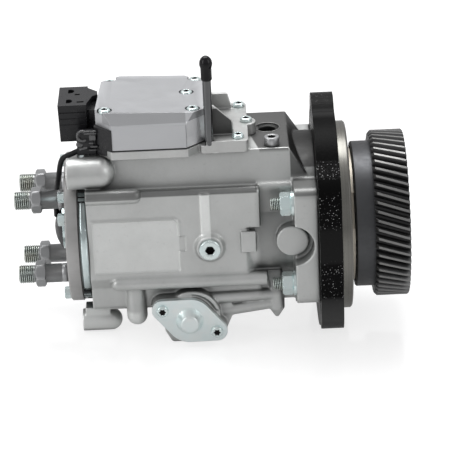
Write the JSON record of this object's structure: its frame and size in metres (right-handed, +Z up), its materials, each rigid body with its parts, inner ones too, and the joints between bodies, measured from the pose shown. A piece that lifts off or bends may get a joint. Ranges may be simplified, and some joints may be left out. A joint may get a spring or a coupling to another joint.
{
  "type": "diesel injection pump",
  "caption": "Electronic distributor-type fuel injection pump with helical drive gear, black lobed adapter plate, control unit on top and threaded delivery outlets.",
  "frame": {"origin": "where the drive shaft's axis meets the engine-side face of the adapter plate", "axes": "+X along the shaft towards the drive gear, +Y away from the side with the name panel, +Z up through the control unit"},
  "size_m": [0.2865, 0.1733, 0.2255],
  "materials": {
    "black_paint": "rough gloss black paint",
    "turned_steel": "fine turned",
    "pale_steel": "satin, pale beige",
    "cast_housing": "shot-blasted sand casting",
    "base_casting": "die casting",
    "cover_casting": "smooth die casting",
    "head_steel": "ground",
    "phosphated_steel": "grey phosphate",
    "zinc_plate": "bright blue zinc",
    "gear_steel": "hardened, oiled",
    "hardened_steel": "ground",
    "bronze": "bored",
    "seal_rubber": "matte",
    "cap_rubber": "smooth moulded",
    "black_plastic": "fine moulded grain",
    "lead_sheath": "smooth sheath",
    "board_laminate": "solder-mask green",
    "contact_brass": "tinned contacts",
    "bright_pipe": "polished"
  },
  "bodies": {
    "pump_body": {"adapter_plate": "black_paint", "bleed_screw": "zinc_plate", "circuit_board": "board_laminate", "connector_flange": "black_plastic", "connector_pins": "contact_brass", "connector_shell": "black_plastic", "control_unit_base": "base_casting", "control_unit_cover": "cover_casting", "control_unit_gasket": "seal_rubber", "control_unit_screws": "zinc_plate", "delivery_springs": "hardened_steel", "delivery_valve_holders": "phosphated_steel", "distributor_head": "head_steel", "far_timing_cover": "cast_housing", "head_bolts": "zinc_plate", "head_seal_ring": "seal_rubber", "joint_band": "zinc_plate", "lead_grommet": "black_plastic", "mounting_studs": "zinc_plate", "nose_seal_ring": "seal_rubber", "pilot_ring": "turned_steel", "pipe_cap": "cap_rubber", "pump_housing": "cast_housing", "seal_retainer": "pale_steel", "sealing_plug": "zinc_plate", "shaft_bushes": "bronze", "shaft_seal": "seal_rubber", "side_plug": "zinc_plate", "solenoid_body": "zinc_plate", "solenoid_cap": "black_plastic", "solenoid_lead": "lead_sheath", "stud_nuts": "zinc_plate", "stud_washers": "zinc_plate", "timing_cover": "zinc_plate", "timing_cover_screws": "zinc_plate", "timing_spring": "hardened_steel", "vane_pump_plate": "hardened_steel", "vane_pump_ring": "hardened_steel", "vent_pipe": "bright_pipe"},
    "drive_train": {"drive_gear": "gear_steel", "drive_shaft": "hardened_steel", "drive_keys": "hardened_steel", "gear_washer": "hardened_steel", "gear_nut": "hardened_steel", "vane_pump_rotor": "hardened_steel", "pump_vanes": "hardened_steel", "distributor_rotor": "hardened_steel", "plungers": "hardened_steel", "roller_shoes": "hardened_steel", "cam_rollers": "hardened_steel", "speed_wheel": "hardened_steel"},
    "cam": {"cam_ring": "hardened_steel", "timing_pin": "hardened_steel", "speed_sensor": "black_plastic"},
    "timing_slider": {"timing_piston": "hardened_steel"},
    "metering_needle": {"solenoid_needle": "hardened_steel"},
    "delivery_check_1": {"delivery_valve_cone_1": "hardened_steel"},
    "delivery_check_2": {"delivery_valve_cone_2": "hardened_steel"},
    "delivery_check_3": {"delivery_valve_cone_3": "hardened_steel"},
    "delivery_check_4": {"delivery_valve_cone_4": "hardened_steel"}
  },
  "joints": [
    {"name": "drive_spin", "type": "hinge", "parent": "pump_body", "child": "drive_train", "pos_m": [0, 0, 0], "axis": [1, 0, 0], "continuous": true},
    {"name": "cam_advance", "type": "hinge", "parent": "pump_body", "child": "cam", "pos_m": [-0.1122, 0, 0], "axis": [1, 0, 0], "range_deg": [0, 12]},
    {"name": "timing_piston_slide", "type": "slide", "parent": "pump_body", "child": "timing_slider", "axis": [0, 1, 0], "range_m": [0, 0.0115]},
    {"name": "solenoid_needle_slide", "type": "slide", "parent": "pump_body", "child": "metering_needle", "axis": [1, 0, 0], "range_m": [0, 0.0004]},
    {"name": "delivery_valve_1_slide", "type": "slide", "parent": "pump_body", "child": "delivery_check_1", "axis": [-1, 0, 0], "range_m": [0, 0.0008]},
    {"name": "delivery_valve_2_slide", "type": "slide", "parent": "pump_body", "child": "delivery_check_2", "axis": [-1, 0, 0], "range_m": [0, 0.0008]},
    {"name": "delivery_valve_3_slide", "type": "slide", "parent": "pump_body", "child": "delivery_check_3", "axis": [-1, 0, 0], "range_m": [0, 0.0008]},
    {"name": "delivery_valve_4_slide", "type": "slide", "parent": "pump_body", "child": "delivery_check_4", "axis": [-1, 0, 0], "range_m": [0, 0.0008]}
  ],
  "couplings": [
    {"joint": "timing_piston_slide", "follows": "cam_advance", "m_per_rad": 0.0548}
  ]
}
